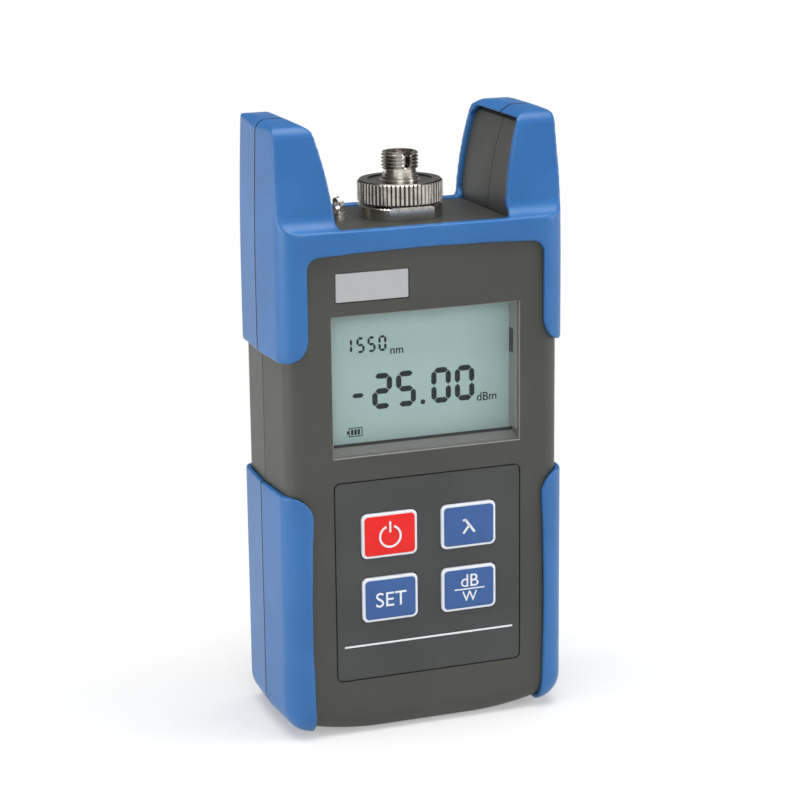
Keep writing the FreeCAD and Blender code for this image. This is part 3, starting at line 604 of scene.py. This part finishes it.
def nickel_plate(name, warm, bright, gloss, hollows=None):
    """Bright plating over turning marks, with faint tarnish in patches and painted shade in any hollows."""
    material, place = new_finish(name)
    x, y, z = place.axes()
    turning = z.node("ShaderNodeCombineXYZ", {}, {0: 0.0, 1: 0.0, 2: z * 6.0}).noise(3.0, 3.0, 0.6)
    tarnish = place.noise(0.55, 3.0).between(0.42, 0.72)
    tone = tarnish.colour(bright, warm)
    if hollows:
        crest, root, low, depth = hollows
        # Painted shade: between the crest and root radii, above the given height, the hollows are painted dark by the
        # given amount.
        hollow_shade = (x * x + y * y).power(0.5).between(crest, root) * z.between(low - 0.1, low + 0.1)
        tone = (hollow_shade * depth).colour(tone, grey(0.055, 0.050, 0.042))
    coat(place, Base_Color=tone, Metallic=1.0 - 0.04 * tarnish,
         Roughness=gloss + 0.10 * turning + 0.10 * tarnish, Normal=turning.bump(0.008, 0.5))
    return material


nickel = nickel_plate("nickel_plate", grey(0.42, 0.39, 0.34), grey(0.60, 0.57, 0.52), 0.14)
dress(nickel, "connector_base", "base_nut", "base_washer", "detector")
satin_nickel = nickel_plate("satin_nickel", grey(0.50, 0.47, 0.42), grey(0.68, 0.65, 0.60), 0.30)
dress(satin_nickel, "tether_eyelet")
# Painted shade darkens the knurl's grooves
knurled = nickel_plate("knurled_nickel", grey(0.42, 0.39, 0.34), grey(0.60, 0.57, 0.52), 0.16, (9.06, 8.84, 113.0, 0.85))
dress(knurled, "coupling_ring")
# Painted shade darkens the thread's roots
threaded = nickel_plate("threaded_nickel", grey(0.54, 0.50, 0.44), grey(0.74, 0.70, 0.64), 0.20, (3.92, 3.66, 120.4, 0.5))

# Thread on the sleeve, M8 x 0.75, cut right-handed from end to end: the groove is one profile wound up
pitch, crest_r, root_r = 0.75, 4.0, 3.56
crest_flat, root_flat = 0.13, 0.12
sleeve_low = 120.3
receptacle = merged_copy("fibre_adapter", "receptacle")
overshoot = 0.4
bpy.ops.object.select_all(action="DESELECT")
bpy.ops.mesh.primitive_plane_add(size=1, rotation=(math.pi / 2, 0, 0), scale=(1, 1, 1))
groove = bpy.context.active_object
bpy.ops.object.transform_apply(location=True, rotation=True, scale=True)
bpy.ops.object.mode_set(mode="EDIT")
wide = (pitch - crest_flat) * (1 + overshoot / (crest_r - root_r))
bpy.ops.transform.resize(value=((crest_r - root_r + overshoot) * MM, 1, wide * MM))
bpy.ops.transform.translate(value=((root_r + crest_r + overshoot) / 2 * MM, 0, (sleeve_low - pitch) * MM))
pick(groove, "EDGE", lambda middle, direction: middle.x < (root_r + 0.01) * MM)
bpy.ops.transform.resize(value=(1, 1, root_flat / wide))
bpy.ops.object.mode_set(mode="OBJECT")
finish_modifier(groove, "SCREW", axis="Z", angle=2 * math.pi, screw_offset=pitch * MM, iterations=7,
                steps=72, render_steps=72, use_merge_vertices=True, merge_threshold=1e-6)
bpy.ops.object.mode_set(mode="EDIT")
bpy.ops.mesh.select_all(action="SELECT")
bpy.ops.mesh.fill_holes(sides=4)
bpy.ops.mesh.normals_make_consistent(inside=False)
bpy.ops.object.mode_set(mode="OBJECT")
finish_modifier(receptacle, "BOOLEAN", operation="DIFFERENCE", solver="EXACT", object=groove)
bpy.data.objects.remove(groove)

# Milled flat beside the key slot, down to the root of the thread
mill = block("mill", 3.66, 5.0, -0.62, 0.62, 120.2, 125.0)
bpy.ops.object.mode_set(mode="OBJECT")
mill.data.transform(Matrix.Rotation(math.radians(-111), 4, "Z"))
finish_modifier(receptacle, "BOOLEAN", operation="DIFFERENCE", solver="EXACT", object=mill)
bpy.data.objects.remove(mill)
bpy.ops.object.select_all(action="DESELECT")
receptacle.select_set(True)
bpy.context.view_layer.objects.active = receptacle
bpy.ops.object.mode_set(mode="EDIT")
complete(receptacle, threaded, "fibre_adapter", "nickel", 35)
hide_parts("fibre_adapter")


# ------------------------------------------------------------------ inside
# Boards, switches, the detector and the fixings: ordinary parts, seen only when the door is open.

board_green, place = new_finish("solder_mask")
weave = place.noise(1.6, 2.0)
coat(place, Base_Color=weave.colour(grey(0.010, 0.110, 0.040), grey(0.018, 0.150, 0.055)),
     Roughness=0.28 + 0.1 * weave, Coat_Weight=0.3, Normal=weave.bump(0.02, 0.4))
dress(board_green, "main_board", "detector_board")
epoxy, place = new_finish("chip_epoxy")
coat(place, Base_Color=place.noise(1.2).colour(grey(0.012, 0.012, 0.013), grey(0.024, 0.024, 0.025)),
     Roughness=0.5 + 0.15 * place.noise(4.0), Normal=place.noise(5.0).bump(0.02, 0.5))
dress(epoxy, "board_chips", "power_switch", "wavelength_switch", "reference_switch", "unit_switch")
zinc = nickel_plate("bright_zinc", grey(0.42, 0.42, 0.40), grey(0.58, 0.58, 0.57), 0.26)
dress(zinc, "board_screws", "case_screws", "battery_springs", "battery_contacts")
brass = nickel_plate("turned_brass", grey(0.48, 0.30, 0.10), grey(0.66, 0.45, 0.18), 0.22)
dress(brass, "screw_inserts")

# Cells: a plain dark sleeve with a copper-coloured shoulder, ends bare
sleeve, place = new_finish("cell_sleeve")
x, y, z = place.axes()
band = (z - 64.0).between(-0.1, 0.1)
gloss = place.noise(0.3, 2.0)
coat(place, Base_Color=band.colour(grey(0.018, 0.019, 0.022), grey(0.52, 0.24, 0.09)),
     Metallic=0.15 + 0.6 * band, Roughness=0.25 + 0.1 * gloss, Coat_Weight=0.3)
dress(sleeve, "battery_cells")


# ------------------------------------------------------------------ studio
# Plain white paper floor, one broad soft light above, a softer one on each side, and the camera.
# The horizon is white to the eye and to anything glossy; the room above it is dim.

def ways_of_seeing(tree):
    """Two switches: 1 for what is seen directly, and 1 for what is seen mirrored or through glass."""
    rays = tree.nodes.new("ShaderNodeLightPath")
    direct, mirrored, through = (Wire(tree, rays.outputs["Is " + kind + " Ray"])
                                 for kind in ("Camera", "Glossy", "Transmission"))
    return direct, mirrored.math("MAXIMUM", mirrored, through)


bpy.ops.object.select_all(action="DESELECT")
bpy.ops.mesh.primitive_plane_add(size=8, location=(0, 0, 0))
floor = bpy.context.active_object
floor.name = "floor"
paper = bpy.data.materials.new("floor_paper")
paper.use_nodes = True
paper.node_tree.nodes.clear()
start = Wire(paper.node_tree)
matt = start.node("ShaderNodeBsdfDiffuse", {}, {"Color": grey(0.80, 0.80, 0.80)})
bright = start.node("ShaderNodeEmission", {}, {"Color": grey(1, 1, 1), "Strength": 1.0})
away = start.node("ShaderNodeTexCoord", {}, {}, "Object").length().between(0.06, 0.42)
direct, reflected = ways_of_seeing(paper.node_tree)
seen = direct * (0.35 + 0.65 * away) + reflected * (0.35 + 0.6 * away)
both = start.node("ShaderNodeMixShader", {}, {0: seen, 1: matt, 2: bright})
start.node("ShaderNodeOutputMaterial", {}, {"Surface": both})
floor.data.materials.append(paper)

world = bpy.data.worlds.new("studio")
bpy.context.scene.world = world
world.use_nodes = True
world.node_tree.nodes.clear()
sky = Wire(world.node_tree)
x, y, z = sky.node("ShaderNodeTexCoord", {}, {}, "Generated").axes()
dim = sky.node("ShaderNodeBackground", {}, {"Color": grey(1, 1, 1), "Strength": 0.18})
white = sky.node("ShaderNodeBackground", {}, {"Color": grey(1, 1, 1), "Strength": 1.0})
direct, reflected = ways_of_seeing(world.node_tree)
shown = direct + reflected * z.between(0.16, 0.02)
room = sky.node("ShaderNodeMixShader", {}, {0: shown, 1: dim, 2: white})
sky.node("ShaderNodeOutputWorld", {}, {"Surface": room})


def softbox(name, place, aim, width, height, watts):
    lamp = bpy.data.lights.new(name, "AREA")
    lamp.shape = "RECTANGLE"
    lamp.size, lamp.size_y = width, height
    lamp.energy = watts
    holder = bpy.data.objects.new(name, lamp)
    bpy.context.scene.collection.objects.link(holder)
    holder.location = place
    holder.rotation_euler = (Vector(aim) - Vector(place)).to_track_quat("-Z", "Y").to_euler()


softbox("overhead", (0.0, -0.10, 0.95), (0, 0, 0.06), 0.9, 0.7, 10.5)
softbox("front", (-0.30, -1.10, 0.60), (0, 0, 0.06), 0.7, 0.6, 5.0)
softbox("left", (-0.95, 0.10, 0.17), (0, 0, 0.06), 0.6, 0.28, 4.5)
softbox("right", (0.80, -0.35, 0.35), (0, 0, 0.06), 0.5, 0.5, 3.5)

azimuth, elevation, roll = math.radians(-20.1), math.radians(14.46), math.radians(-0.66)
centre = Vector((-0.524, 0.0, 69.4)) * MM
back = Vector((math.sin(azimuth) * math.cos(elevation), -math.cos(azimuth) * math.cos(elevation), math.sin(elevation)))
level = Vector((math.cos(azimuth), math.sin(azimuth), 0.0))
upright = back.cross(level)
right = math.cos(roll) * level + math.sin(roll) * upright
up = -math.sin(roll) * level + math.cos(roll) * upright
viewer = bpy.data.cameras.new("camera")
viewer.lens = 111.98
viewer.sensor_width = 36.0
viewer.clip_start = 0.01
stand = bpy.data.objects.new("camera", viewer)
bpy.context.scene.collection.objects.link(stand)
turned = Matrix((right, up, back)).transposed()
stand.matrix_world = Matrix.Translation(centre + 541.0 * MM * back) @ turned.to_4x4()
bpy.context.scene.camera = stand
bpy.context.scene.view_settings.view_transform = "Standard"
